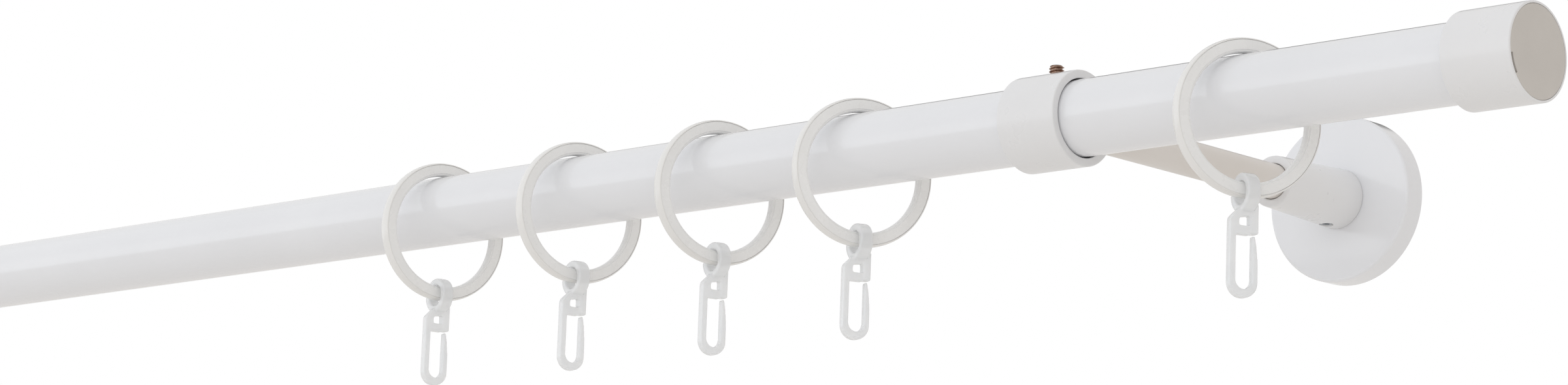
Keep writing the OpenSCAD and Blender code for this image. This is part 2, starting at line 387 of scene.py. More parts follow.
# matt moulded plastic of the pressed-in disc: a warm light grey that hardly shines
DISC_GREY = MouldedPlastic("matt_grey_disc_plastic", "#CFCAC4", "#CAC5BF", (0.42, 0.52))
# white lacquer on the rings' thin metal bands
BAND_WHITE = Lacquer("band_white_lacquer", "#EEEDEB", "#E8E7E4", (0.2, 0.24), gloss=0.6, peel_height=0.0005)
# polyacetal liners: dense, slightly grey white that slides well
LINER_WHITE = MouldedPlastic("white_liner_acetal", "#F5F5F4", "#F0F0EF", (0.24, 0.34))
# grey polyethylene plugs inside the tube
PLUG_GREY = MouldedPlastic("grey_plug_polyethylene", "#8F9193", "#85878A", (0.45, 0.6), grain_height=0.004)
# hooks of clear polycarbonate: milky where it is thick, with a glossy skin
CLEAR = ClearPlastic("clear_polycarbonate", "#F7F8F9", "#F2F4F6", (0.2, 0.26))
# bright zinc on the wall plates and the hidden screws: cold grey crystals
ZINC = PlatedMetal("bright_zinc_plate", "#D6DADD", "#C0C5CA", (0.28, 0.42), crystal_size=1.4)
# coppery bronze plate on the lock screws, which catches the light on its thread
BRONZE = PlatedMetal("bronze_plate", "#B59C8C", "#86695B", (0.2, 0.36))


# ---------------------------------------------------------------- mesh work


class Cut(Enum):
    """How one solid is combined with others."""

    AWAY = "DIFFERENCE"
    TOGETHER = "UNION"
    WITHIN = "INTERSECT"


def rounded(shape: BMesh, geom: list, radius: float, affect: str, segments: int) -> None:
    """Rounds some corners or edges of a mesh.

    Args:
        shape: The mesh.
        geom: Its vertices or edges to round.
        radius: Size of the rounding, in mm.
        affect: "VERTICES" or "EDGES".
        segments: Steps across the rounding.
    """
    bmesh.ops.bevel(
        shape,
        geom=geom,
        offset=radius,
        offset_type="OFFSET",
        affect=affect,
        segments=segments,
        profile=0.5,
        material=-1,
    )


def lathe(section: Iterable[Corner], steps: int = LATHE_STEPS) -> BMesh:
    """Spins a section with rounded corners about the local Z axis.

    A section whose first and last corners lie on the axis is a solid one. Any other is joined into a ring.

    Args:
        section: Corners as radius, height and rounding, in mm.
        steps: Number of steps of the full turn.

    Returns:
        The closed mesh.
    """
    corners = list(section)
    shape = bmesh.new()
    verts = [shape.verts.new((radius, 0.0, height)) for radius, height, _ in corners]
    solid = corners[0][0] == 0 and corners[-1][0] == 0
    for start, end in zip(verts, verts[1:] if solid else verts[1:] + verts[:1]):
        shape.edges.new((start, end))
    for vert, (_, _, rounding) in zip(verts, corners):
        if rounding:
            rounded(shape, [vert], rounding, "VERTICES", 4)
    bmesh.ops.spin(
        shape,
        geom=shape.verts[:] + shape.edges[:],
        cent=(0, 0, 0),
        axis=(0, 0, 1),
        angle=math.tau,
        steps=steps,
        use_merge=True,
    )
    return tidied(shape)


def tidied(shape: BMesh, gap: float = 1e-4) -> BMesh:
    """Merges doubled vertices and turns every face outwards.

    Args:
        shape: Mesh to tidy.
        gap: Vertices nearer than this are merged, in mm.

    Returns:
        The same mesh.
    """
    bmesh.ops.remove_doubles(shape, verts=shape.verts, dist=gap)
    bmesh.ops.recalc_face_normals(shape, faces=shape.faces)
    return shape


def moved(shape: BMesh, move: Matrix) -> BMesh:
    """Transforms a mesh and keeps its faces outwards, even when the move mirrors it.

    Args:
        shape: Mesh to move.
        move: The transform.

    Returns:
        The same mesh.
    """
    bmesh.ops.transform(shape, matrix=move, verts=shape.verts)
    if move.determinant() < 0:
        bmesh.ops.reverse_faces(shape, faces=shape.faces)
    return shape


def block(low: Point3, high: Point3, rounding: float = 0.0) -> BMesh:
    """A box between two corners, with rounded edges.

    Args:
        low: Lowest corner, in mm.
        high: Highest corner, in mm.
        rounding: Radius of its edges, in mm.

    Returns:
        The mesh.
    """
    shape = bmesh.new()
    bmesh.ops.create_cube(shape, size=1.0)
    size = Vector(high) - Vector(low)
    bmesh.ops.scale(shape, vec=size, verts=shape.verts)
    bmesh.ops.translate(shape, vec=Vector(low) + size / 2, verts=shape.verts)
    if rounding:
        rounded(shape, shape.edges[:], rounding, "EDGES", 3)
    return shape


def evaluated(shape: BMesh, kind: str, others: Iterable[BMesh] = (), **settings: Any) -> BMesh:
    """Runs one modifier over a mesh and returns the result, tidied.

    Args:
        shape: Mesh to change. It is freed.
        kind: Name of the modifier type.
        others: Meshes that a Boolean works with, one after another. They are freed.
        **settings: Attributes of the modifier.

    Returns:
        The new mesh.
    """
    scratch = []
    for source in (shape, *others):
        mesh = bpy.data.meshes.new("scratch")
        source.to_mesh(mesh)
        source.free()
        scratch.append(bpy.data.objects.new("scratch", mesh))
        bpy.context.scene.collection.objects.link(scratch[-1])
    for other in scratch[1:] or [None]:
        modifier = scratch[0].modifiers.new(kind.lower(), kind)
        for name, value in settings.items():
            setattr(modifier, name, value)
        if other:
            modifier.object = other
    bpy.context.view_layer.update()
    result = bmesh.new()
    result.from_object(scratch[0], bpy.context.evaluated_depsgraph_get())
    for used in scratch:
        mesh = used.data
        bpy.data.objects.remove(used)
        bpy.data.meshes.remove(mesh)
    return result


def combined(shape: BMesh, how: Cut, *others: BMesh) -> BMesh:
    """Combines a solid with others.

    Args:
        shape: The solid to start from.
        how: What the others do to it.
        *others: The other solids.

    Returns:
        The combined solid.
    """
    return tidied(evaluated(shape, "BOOLEAN", others, operation=how.value, solver="EXACT"))


def arc(centre: Point2, radius: float, start: float, end: float, steps: int = 10) -> list[Point2]:
    """Points of an arc in a plane, from one angle to another, in degrees."""
    angles = [math.radians(start + (end - start) * k / steps) for k in range(steps + 1)]
    return [(centre[0] + radius * math.cos(a), centre[1] + radius * math.sin(a)) for a in angles]


def threaded_bar(radius: float, pitch: float, length: float, steps: int = 40) -> BMesh:
    """Sweeps a thread's profile up a helix along +Z and closes both ends flat.

    Args:
        radius: Radius at the thread's crests, in mm.
        pitch: Distance between crests, in mm.
        length: Length of the bar, in mm.
        steps: Steps of one turn.

    Returns:
        The closed mesh.
    """
    root = radius - 0.61 * pitch
    profile = [(root, 0), (root, 1 / 8), (radius, 7 / 16), (radius, 9 / 16), (root, 7 / 8), (root, 1)]
    turns = math.ceil(length / pitch) + 3
    shape = bmesh.new()
    verts = [shape.verts.new((r, 0, (share - 2) * pitch)) for r, share in profile]
    edges = [shape.edges.new(pair) for pair in zip(verts, verts[1:])]
    bmesh.ops.spin(
        shape,
        geom=verts + edges,
        cent=(0, 0, 0),
        axis=(0, 0, 1),
        dvec=(0, 0, pitch / steps),
        angle=math.tau * turns,
        steps=steps * turns,
    )
    bmesh.ops.remove_doubles(shape, verts=shape.verts, dist=1e-3)
    for height, facing in ((0.0, -1), (length, 1)):
        bmesh.ops.bisect_plane(
            shape,
            geom=shape.verts[:] + shape.edges[:] + shape.faces[:],
            plane_co=(0, 0, height),
            plane_no=(0, 0, facing),
            clear_outer=True,
        )
    bmesh.ops.holes_fill(shape, edges=[e for e in shape.edges if e.is_boundary])
    return tidied(shape, gap=1e-5)


def hex_key(across: float, depth: float, top: float) -> BMesh:
    """A hexagonal prism that cuts a key's socket down from a given height.

    Args:
        across: Size across its flats, in mm.
        depth: Depth of the socket, in mm.
        top: Height of the face that it is cut in, in mm.

    Returns:
        The mesh.
    """
    shape = bmesh.new()
    radius = across / 2 / math.cos(math.pi / 6)
    over = 1.0
    bmesh.ops.create_cone(
        shape,
        cap_ends=True,
        segments=6,
        radius1=radius,
        radius2=radius,
        depth=depth + over,
        matrix=Matrix.Translation((0, 0, top + (over - depth) / 2)),
    )
    return shape


# ---------------------------------------------------------------- placing


def facing(direction: Vector, origin: Vector = Vector()) -> Matrix:
    """A place whose local Z runs along a direction.

    Args:
        direction: Where local Z points.
        origin: Where the local origin lies.

    Returns:
        The place.
    """
    return Matrix.Translation(origin) @ direction.to_track_quat("Z", "Y").to_matrix().to_4x4()


OUT_FROM_WALL = facing(Vector((0, -1, 0)))
TO_THE_WALL = facing(Vector((0, 1, 0)))
ALONG_ROD = facing(Vector((1, 0, 0)))
DOWN = facing(Vector((0, 0, -1)))


@dataclass
class Bench:
    """Where pieces are put in place and dressed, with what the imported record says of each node."""

    record: dict
    body_of: dict[str, str] = field(init=False)
    slot_of: dict[str, str] = field(init=False)
    count: int = 0

    def __post_init__(self) -> None:
        """Reads the body and the material slot of each node."""
        bodies = self.record["behaviour"]["bodies"]
        self.body_of = {node: body for body, nodes in bodies.items() for node in nodes}
        self.slot_of = {row["node"]: row["material_slot"] for row in self.record["subparts"]}

    def put(
        self, node: str, shape: BMesh, place: Matrix, finish: Finish, crease: float = 38.0
    ) -> bpy.types.Object:
        """Makes a shape the visible piece that stands for a node.

        Args:
            node: The node.
            shape: Its mesh, in mm and in local axes. It is freed.
            place: Where the local axes lie in the frame, in metres.
            finish: What it is dressed in.
            crease: Edges that turn more than this stay sharp, in degrees.

        Returns:
            The piece.
        """
        moved(shape, place @ Matrix.Scale(MM, 4))
        mesh = bpy.data.meshes.new(f"{node}_piece")
        shape.to_mesh(mesh)
        shape.free()
        mesh.shade_smooth()
        mesh.set_sharp_from_angle(angle=math.radians(crease))
        mesh.materials.append(finish.material())
        piece = bpy.data.objects.new(f"{node}_piece", mesh)
        bpy.context.scene.collection.objects.link(piece)
        weighting = piece.modifiers.new("even_shading", "WEIGHTED_NORMAL")
        weighting.keep_sharp = True
        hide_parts(node)
        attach(piece, self.body_of[node])
        self.count += 1
        LOG.info("%s: %d faces, %s, on %s", node, len(mesh.polygons), finish.name, self.body_of[node])
        return piece


# ---------------------------------------------------------------- sub-assemblies


@dataclass
class RodTube:
    """The steel tube, lacquered outside, with its cut ends broken."""

    wall: float = 0.8
    edge: float = 0.2

    def build(self, bench: Bench) -> None:
        """Turns the tube to the size of its node."""
        low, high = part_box("rod_tube")
        radius = (high.z - low.z) / 2 / MM
        half = (high.x - low.x) / 2 / MM
        bore = radius - self.wall
        tube = lathe(
            [
                (bore, -half, self.edge),
                (radius, -half, self.edge),
                (radius, half, self.edge),
                (bore, half, self.edge),
            ]
        )
        bench.put("rod_tube", tube, facing(Vector((1, 0, 0)), (low + high) / 2), GLOSS_WHITE)


@dataclass
class EndCap:
    """Cup over the end of the tube, the disc pressed into its face, and the finned plug in the tube."""

    side: str
    bore: float = 10.05
    grip: float = 15.0
    edge: float = 0.3
    disc_thickness: float = 1.4
    disc_radius: float = 11.56
    disc_gap: float = 0.06
    stub_radius: float = 3.0
    plug_length: float = 12.0
    plug_core: float = 6.0
    fin_radius: float = 9.1
    fins: int = 6
    notch_turn: float = 24.0
    notch_span: float = 13.0
    notch_width: float = 0.75
    notch_depth: float = 1.3

    def build(self, bench: Bench) -> None:
        """Builds the cup, the disc and the plug on one axis, with zero at the cup's open end."""
        low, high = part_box(f"end_cap_{self.side}")
        middle = (low + high) / 2
        sign = SIDES[self.side]
        open_end = low.x if sign > 0 else high.x
        self.radius = (high.z - low.z) / 2 / MM
        self.length = (high.x - low.x) / MM
        # local Z runs outwards along the tube, local X towards the room and local Y up
        place = Matrix(
            ((0, 0, sign, open_end), (-1, 0, 0, middle.y), (0, 1, 0, middle.z), (0, 0, 0, 1))
        )
        bench.put(f"end_cap_{self.side}", self.cup(), place, SATIN_WHITE)
        bench.put(f"cap_disc_{self.side}", self.disc(), place, DISC_GREY)
        bench.put(f"cap_plug_{self.side}", self.plug(), place, PLUG_GREY)

    def cup(self) -> BMesh:
        """The cup: a skirt over the tube, a web, and a recess with a thin lip for the disc."""
        seat = self.length - self.disc_thickness
        web = self.grip + 0.05
        return lathe(
            [
                (self.bore, 0, 0.25),
                (self.radius, 0, self.edge + 0.15),
                (self.radius, self.length, self.edge),
                (self.disc_radius, self.length, 0.06),
                (self.disc_radius, seat, 0),
                (self.stub_radius + self.disc_gap, seat, 0),
                (self.stub_radius + self.disc_gap, web, 0),
                (self.bore, web, 0.4),
            ]
        )

    def disc(self) -> BMesh:
        """The disc, hardly crowned, with a short notch at its rim for a knife's point."""
        rim = self.disc_radius - self.disc_gap
        top = self.length - 0.02
        seat = self.length - self.disc_thickness
        plate = lathe([(0, seat, 0), (rim, seat, 0.1), (rim, top, 0.18), (0, top, 0)])
        inner, outer = rim - self.notch_width, rim + 0.5
        floor, over = top - self.notch_depth, top + 0.5
        notch = lathe([(inner, floor, 0), (outer, floor, 0), (outer, over, 0), (inner, over, 0)], steps=180)
        # only the stretch of the ring that the notch takes is kept
        for turn, side in ((-self.notch_span, -1), (self.notch_span, 1)):
            edge_angle = math.radians(turn - self.notch_turn)
            bmesh.ops.bisect_plane(
                notch,
                geom=notch.verts[:] + notch.edges[:] + notch.faces[:],
                plane_co=(0, 0, 0),
                plane_no=(-side * math.sin(edge_angle), side * math.cos(edge_angle), 0),
                clear_outer=True,
            )
        behind = [f for f in notch.faces if f.calc_center_median().x < 0]
        bmesh.ops.delete(notch, geom=behind, context="FACES")
        bmesh.ops.holes_fill(notch, edges=[e for e in notch.edges if e.is_boundary])
        return combined(plate, Cut.AWAY, tidied(notch))

    def plug(self) -> BMesh:
        """The plug: a core, a stub that the disc sits on, and fins that grip the tube."""
        inner = self.grip - self.plug_length
        stub_end = self.length - self.disc_thickness
        body = lathe(
            [
                (0, inner, 0),
                (self.plug_core, inner, 0.5),
                (self.plug_core, self.grip, 0.15),
                (self.stub_radius, self.grip, 0.1),
                (self.stub_radius, stub_end, 0.1),
                (0, stub_end, 0),
            ]
        )
        fins = []
        for k in range(self.fins):
            fin = block((self.plug_core - 1, -0.7, inner + 1), (self.fin_radius, 0.7, self.grip - 1), 0.2)
            fins.append(moved(fin, Matrix.Rotation(math.tau * k / self.fins, 4, "Z")))
        return combined(body, Cut.TOGETHER, *fins)


@dataclass
class GrubScrew:
    """Headless screw with a hex socket: its point at zero and its drive end up local Z."""

    length: float
    radius: float = 1.95
    pitch: float = 0.7
    across: float = 2.0
    socket_depth: float = 1.6

    def shape(self) -> BMesh:
        """Cuts the thread's two ends to a cone and drives the hex socket in."""
        point = 0.45
        envelope = lathe(
            [
                (0, 0, 0),
                (self.radius - point, 0, 0.05),
                (self.radius + 0.05, point, 0),
                (self.radius + 0.05, self.length - point * 0.8, 0),
                (self.radius - point * 0.8, self.length, 0.05),
                (0, self.length, 0),
            ],
            steps=64,
        )
        bar = threaded_bar(self.radius, self.pitch, self.length + 0.4)
        bar = moved(bar, Matrix.Translation((0, 0, -0.2)))
        key = hex_key(self.across, self.socket_depth, self.length)
        return combined(combined(bar, Cut.WITHIN, envelope), Cut.AWAY, key)


@dataclass
class WallBracket:
    """What is fixed to the wall: the plate, the rosette over it, the socket and its grub screw."""

    side: str
    plate_thickness: float = 2.5
    plate_radius: float = 20.0
    hub_radius: float = 9.5
    screw_hole: float = 2.25
    screw_spacing: float = 29.0
    rosette_wall: float = 1.6
    rosette_corner: float = 0.8
    spigot: float = 6.98
    bore: float = 4.88
    mouth: float = 4.95
    mouth_depth: float = 0.5
    rim: float = 7.1
    base: float = 8.4
    grub_out: float = 5.5

    def build(self, bench: Bench) -> None:
        """Builds the four pieces with zero at the wall, on the arm's axis."""
        low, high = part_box(f"rosette_{self.side}")
        self.rosette_radius = (high.z - low.z) / 2 / MM
        self.rosette_depth = (high.y - low.y) / MM
        self.socket_front = -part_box(f"socket_{self.side}")[0].y / MM
        place = Matrix.Translation(((low.x + high.x) / 2, 0, (low.z + high.z) / 2))
        bench.put(f"wall_plate_{self.side}", self.plate(), place @ OUT_FROM_WALL, ZINC)
        bench.put(f"rosette_{self.side}", self.rosette(), place @ OUT_FROM_WALL, GLOSS_WHITE)
        bench.put(f"socket_{self.side}", self.socket(), place, SATIN_WHITE)
        self.grub(bench)

    def plate(self) -> BMesh:
        """Steel disc with a threaded hub and two countersunk screw holes."""
        hub_top = self.rosette_depth - self.rosette_wall
        disc = lathe(
            [
                (self.spigot + 0.05, 0, 0.15),
                (self.plate_radius, 0, 0.3),
                (self.plate_radius, self.plate_thickness, 0.4),
                (self.hub_radius, self.plate_thickness, 0.5),
                (self.hub_radius, hub_top, 0.3),
                (self.spigot + 0.05, hub_top, 0.3),
            ]
        )
        sink = 0.8
        drills = []
        for sign in (-1, 1):
            drill = lathe(
                [
                    (0, -1, 0),
                    (self.screw_hole, -1, 0),
                    (self.screw_hole, self.plate_thickness - sink, 0),
                    (self.screw_hole + sink + 0.5, self.plate_thickness + 0.5, 0),
                    (0, self.plate_thickness + 0.5, 0),
                ],
                steps=48,
            )
            drills.append(moved(drill, Matrix.Translation((0, sign * self.screw_spacing / 2, 0))))
        return combined(disc, Cut.AWAY, *drills)

    def rosette(self) -> BMesh:
        """Pressed cover cup with a rounded front corner."""
        radius, depth, wall = self.rosette_radius, self.rosette_depth, self.rosette_wall
        hole = self.spigot + 0.05
        return lathe(
            [
                (hole, depth - wall, 0.1),
                (radius - wall, depth - wall, 0.5),
                (radius - wall, 0, 0.3),
                (radius, 0, 0.3),
                (radius, depth, self.rosette_corner),
                (hole, depth, 0.1),
            ],
            steps=192,
        )

    def socket(self) -> BMesh:
        """Flared tube with a wide mouth, a spigot into the plate, and the grub screw's hole underneath."""
        front, seat = self.socket_front, self.rosette_depth
        tube = lathe(
            [
                (self.bore, 0.5, 0.2),
                (self.spigot, 0.5, 0.3),
                (self.spigot, seat, 0),
                (self.base, seat, 0.35),
                (self.rim, front, 0.45),
                (self.mouth, front, 0.35),
                (self.mouth, front - self.mouth_depth, 0.2),
                (self.bore, front - self.mouth_depth - (self.mouth - self.bore), 0.2),
            ]
        )
        out = seat + self.grub_out
        skin = self.skin(out)
        drill = lathe(
            [
                (0, 4, 0),
                (TAPPED, 4, 0),
                (TAPPED, skin - 0.1, 0),
                (TAPPED + 0.2, skin + 0.2, 0),
                (0, skin + 0.2, 0),
            ],
            steps=48,
        )
        moved(drill, Matrix.Translation((0, -out, 0)) @ DOWN)
        return combined(moved(tube, OUT_FROM_WALL), Cut.AWAY, drill)

    def skin(self, out: float) -> float:
        """Outer radius of the socket at a distance from the wall, in mm."""
        share = (self.socket_front - out) / (self.socket_front - self.rosette_depth)
        return self.rim + (self.base - self.rim) * share

    def grub(self, bench: Bench) -> None:
        """Grub screw that bears on the arm from below."""
        node = f"socket_screw_{self.side}"
        low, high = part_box(node)
        place = Matrix.Translation(((low.x + high.x) / 2, (low.y + high.y) / 2, high.z)) @ DOWN
        bench.put(node, GrubScrew((high.z - low.z) / MM, socket_depth=0.9).shape(), place, ZINC)


@dataclass
class RodHolder:
    """What slides in the wall bracket and holds the tube: arm, sleeve, joining screw and lock screw."""

    side: str
    arm_radius: float = 4.8
    sleeve_bore: float = 10.31
    sleeve_edge: float = 0.38
    head_radius: float = 3.4
    shank: float = 1.95
    head_depth: float = 1.4
    screw_length: float = 14.0

    def build(self, bench: Bench) -> None:
        """Builds the pieces with zero on the tube's axis, in the frame's own directions."""
        low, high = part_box(f"sleeve_{self.side}")
        self.axis = (low + high) / 2
        self.radius = (high.z - low.z) / 2 / MM
        self.half = (high.x - low.x) / 2 / MM
        place = Matrix.Translation(self.axis)
        # the arm's lacquer is the white one darkened with painted shade
        bench.put(f"arm_{self.side}", self.arm(), place, SHADED_BAR_WHITE)
        bench.put(f"sleeve_{self.side}", self.sleeve(), place, SATIN_WHITE)
        bench.put(f"sleeve_screw_{self.side}", self.joining_screw(), place, ZINC)
        self.lock_screw(bench)

    def arm(self) -> BMesh:
        """Round bar whose tip is hollowed to seat on the sleeve."""
        end = (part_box(f"arm_{self.side}")[1].y - self.axis.y) / MM
        bar = lathe(
            [(0, 8, 0), (self.arm_radius, 8, 0), (self.arm_radius, end, 0.5), (0, end, 0)], steps=96
        )
        tap = lathe([(0, 10, 0), (TAPPED, 10, 0), (TAPPED, 28.5, 0), (0, 28.5, 0)], steps=32)
        saddle = lathe([(0, -12, 0), (self.radius, -12, 0), (self.radius, 12, 0), (0, 12, 0)], steps=192)
        return combined(
            moved(bar, TO_THE_WALL), Cut.AWAY, moved(saddle, ALONG_ROD), moved(tap, TO_THE_WALL)
        )

    def sleeve(self) -> BMesh:
        """Short thick tube with a tapped hole on top and a countersunk one towards the arm."""
        tube = lathe(
            [
                (self.sleeve_bore, -self.half, 0.25),
                (self.radius, -self.half, self.sleeve_edge),
                (self.radius, self.half, self.sleeve_edge),
                (self.sleeve_bore, self.half, 0.25),
            ],
            steps=192,
        )
        top = self.radius
        tapped = lathe(
            [
                (0, 5, 0),
                (TAPPED, 5, 0),
                (TAPPED, top - 0.25, 0),
                (TAPPED + 0.3, top + 0.4, 0),
                (0, top + 0.4, 0),
            ],
            steps=48,
        )
        seat = self.sleeve_bore + 0.05
        sunk = lathe(
            [
                (0, 5, 0),
                (self.head_radius + 0.05, 5, 0),
                (self.head_radius + 0.05, seat, 0),
                (TAPPED, seat + self.head_depth, 0),
                (TAPPED, top + 1, 0),
                (0, top + 1, 0),
            ],
            steps=48,
        )
        return combined(moved(tube, ALONG_ROD), Cut.AWAY, tapped, moved(sunk, TO_THE_WALL))

    def joining_screw(self) -> BMesh:
        """Countersunk screw from inside the sleeve into the arm."""
        head = lathe(
            [
                (0, 0, 0),
                (self.head_radius, 0, 0.1),
                (self.shank, self.head_depth, 0),
                (self.shank - 0.5, 2.2, 0),
                (0, 2.2, 0),
            ],
            steps=64,
        )
        bar = threaded_bar(self.shank, 0.7, self.screw_length - 1)
        screw = combined(head, Cut.TOGETHER, moved(bar, Matrix.Translation((0, 0, 1))))
        screw = combined(screw, Cut.AWAY, self.head_key())
        return moved(screw, Matrix.Translation((0, self.sleeve_bore + 0.05, 0)) @ TO_THE_WALL)

    def head_key(self) -> BMesh:
        """The key's socket in the joining screw's head, cut upwards from its face."""
        return moved(hex_key(2.0, 1.3, 0), Matrix.Rotation(math.pi, 4, "X"))

    def lock_screw(self, bench: Bench) -> None:
        """Bronze screw that stands proud of the sleeve and bears on the tube."""
        node = f"rod_lock_screw_{self.side}"
        low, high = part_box(node)
        place = Matrix.Translation(((low.x + high.x) / 2, (low.y + high.y) / 2, low.z))
        bench.put(node, GrubScrew((high.z - low.z) / MM, pitch=0.8).shape(), place, BRONZE)


@dataclass
class CurtainRing:
    """One curtain ring: a thin lacquered band round a plastic liner."""

    side: str
    number: int
    bore: float = 16.3
    lip: float = 17.1
    seam: float = 19.6
    rim: float = 20.19
    crown: float = 0.28
    half_band: float = 1.69
    half_liner: float = 1.6
    sunk: float = 0.22
    bead: float = 16.7

    def build(self, bench: Bench, run: Vector) -> None:
        """Builds the ring about its own axis.

        Args:
            bench: Where the pieces are put.
            run: Direction of the ring's lowest stretch, level and towards the wall.
        """
        low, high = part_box(f"ring_band_{self.side}_{self.number}")
        middle = (low + high) / 2
        axis = run.cross(Vector((0, 0, 1)))
        place = Matrix.Translation(middle) @ Matrix(
            ((run.x, 0, axis.x, 0), (run.y, 0, axis.y, 0), (0, 1, 0, 0), (0, 0, 0, 1))
        )
        name = f"{self.side}_{self.number}"
        bench.put(f"ring_band_{name}", self.band(), place, BAND_WHITE)
        bench.put(f"ring_liner_{name}", self.liner(), place, LINER_WHITE)

    def band(self) -> BMesh:
        """Thin crowned band that leaves a fine seam against the liner."""
        inside = self.seam + 0.04
        half = self.half_band
        edge = self.rim - self.crown
        return lathe(
            [
                (inside, -half, 0.03),
                (edge, -half, 0.16),
                (self.rim, -half * 0.45, 0.6),
                (self.rim, half * 0.45, 0.6),
                (edge, half, 0.16),
                (inside, half, 0.03),
            ],
            steps=160,
        )

    def liner(self) -> BMesh:
        """Liner with flat faces, a step down to its lip, and a bead that slides on the tube."""
        half = self.half_liner
        low = half - self.sunk
        face = [
            (self.seam, half, 0.1),
            (self.lip, half, 0.06),
            (self.lip - 0.1, low, 0.04),
            (self.bead, low, 0.12),
        ]
        back = [(r, -h, rounding) for r, h, rounding in reversed(face)]
        bore = [(self.bore, half * 0.5, 0.3), (self.bore, -half * 0.5, 0.3)]
        return lathe([*face, *bore, *back], steps=160)


@dataclass
class CurtainHook:
    """Clear hook: a round eye on the ring, and a flat loop that is closed by a springy prong.

    Local X is its thickness, local Y runs along the ring towards the wall, and local Z is up from the
    eye's centre.
    """

    eye_hole: float = 3.0
    eye_wall: float = 2.0
    eye_width: float = 3.6
    eye_rounding: float = 0.5
    slit: float = 0.4
    thickness: float = 2.2
    low: float = -26.3
    bar: Point2 = (-4.7, -2.95)
    prong: Point2 = (1.71, 3.2)
    block: Point2 = (0.9, 3.1)
    block_ends: Point2 = (-10.35, -3.3)
    cross_bar: Point2 = (-10.6, -8.25)
    window_side: float = -2.1
    window_top: float = -6.1
    neck: tuple[Point2, ...] = ((0.2, -3.3), (-1.2, -3.5), (-2.2, -4.1))
    shoulder: Point2 = (-2.7, -7.4)
    bow: float = 2.2
    voxel: float = 0.17
    smoothings: int = 9

    def outline(self) -> list[Point2]:
        """Outline of the flat loop: shoulder, long bar, bow, prong, cross bar and block."""
        outer_radius = (self.prong[1] - self.bar[0]) / 2
        inner_radius = (self.prong[0] - self.bar[1]) / 2
        bow_height = self.low + outer_radius
        slot_height = self.low + self.bow + inner_radius
        tip = self.block_ends[0] - 0.4
        corner = 0.9
        return [
            (self.block[1], self.block_ends[1]),
            *self.neck,
            *arc(self.shoulder, self.shoulder[0] - self.bar[0], 135, 180, 5),
            *arc((self.bar[0] + outer_radius, bow_height), outer_radius, 180, 360, 20),
            (self.prong[1], bow_height + 3.2),
            (self.prong[1] - 0.1, bow_height + 5.6),
            (self.prong[1] - 0.45, tip - 2.6),
            (self.prong[1] - 0.95, tip),
            (self.prong[0], tip),
            *arc((self.bar[1] + inner_radius, slot_height), inner_radius, 0, -180, 16),
            (self.bar[1], self.cross_bar[0]),
            (self.block[0], self.cross_bar[0]),
            (self.block[0], self.block_ends[0]),
            *arc((self.block[1] - corner, self.block_ends[0] + corner), corner, -90, 0, 5),
        ]

    def window(self) -> list[Point2]:
        """Outline of the small window between the block and the long bar."""
        corner = 0.8
        centre = (self.window_side + corner, self.window_top - corner)
        return [
            (self.block[0], self.cross_bar[1]),
            (self.block[0], self.window_top + 0.3),
            *arc(centre, corner, 90, 180, 5),
            (self.window_side, self.cross_bar[1]),
        ]

    def flat(self) -> BMesh:
        """The flat loop, extruded to its thickness."""
        shape = bmesh.new()
        edges = []
        for loop in (self.outline(), self.window()):
            verts = [shape.verts.new((-self.thickness / 2, u, v)) for u, v in loop]
            edges += [shape.edges.new(pair) for pair in zip(verts, verts[1:] + verts[:1])]
        bmesh.ops.triangle_fill(shape, use_beauty=True, use_dissolve=False, edges=edges)
        grown = bmesh.ops.extrude_face_region(shape, geom=shape.faces[:])
        raised = [v for v in grown["geom"] if isinstance(v, bmesh.types.BMVert)]
        bmesh.ops.translate(shape, vec=(self.thickness, 0, 0), verts=raised)
        return tidied(shape)

    def eye(self) -> BMesh:
        """The eye: a rounded strip bent round the ring, with a snap slit at its side."""
        half = self.eye_width / 2
        strip = block((self.eye_hole, -half, -0.05), (self.eye_hole + self.eye_wall, half, 0.05))
        ends = [f for f in strip.faces if abs(f.normal.z) > 0.5]
        bmesh.ops.delete(strip, geom=ends, context="FACES")
        rings = [e for e in strip.edges if abs((e.verts[0].co - e.verts[1].co).z) > 0.05]
        bmesh.ops.delete(strip, geom=rings, context="EDGES")
        lower = [v for v in strip.verts if v.co.z < 0]
        bmesh.ops.delete(strip, geom=lower, context="VERTS")
        rounded(strip, strip.verts[:], self.eye_rounding, "VERTICES", 4)
        gap = self.slit / (self.eye_hole + self.eye_wall / 2)
        start = Matrix.Rotation(math.pi + gap / 2, 3, "Y")
        bmesh.ops.rotate(strip, verts=strip.verts, cent=(0, 0, 0), matrix=start)
        bmesh.ops.spin(
            strip,
            geom=strip.verts[:] + strip.edges[:],
            cent=(0, 0, 0),
            axis=(0, 1, 0),
            angle=math.tau - gap,
            steps=96,
        )
        bmesh.ops.holes_fill(strip, edges=[e for e in strip.edges if e.is_boundary])
        return tidied(strip)

    def shape(self) -> BMesh:
        """Melts the loop, the eye and the thick block into one moulding with soft edges."""
        body = self.flat()
        thick = block((-1.4, self.block[0], self.block_ends[0]), (1.4, self.block[1], -2.6), 0.35)
        for part in (self.eye(), thick):
            mesh = bpy.data.meshes.new("scratch")
            part.to_mesh(mesh)
            part.free()
            body.from_mesh(mesh)
            bpy.data.meshes.remove(mesh)
        moulding = evaluated(body, "REMESH", mode="VOXEL", voxel_size=self.voxel)
        for _ in range(self.smoothings):
            bmesh.ops.smooth_vert(
                moulding,
                verts=moulding.verts,
                factor=0.5,
                use_axis_x=True,
                use_axis_y=True,
                use_axis_z=True,
            )
        return tidied(moulding)


# ---------------------------------------------------------------- studio


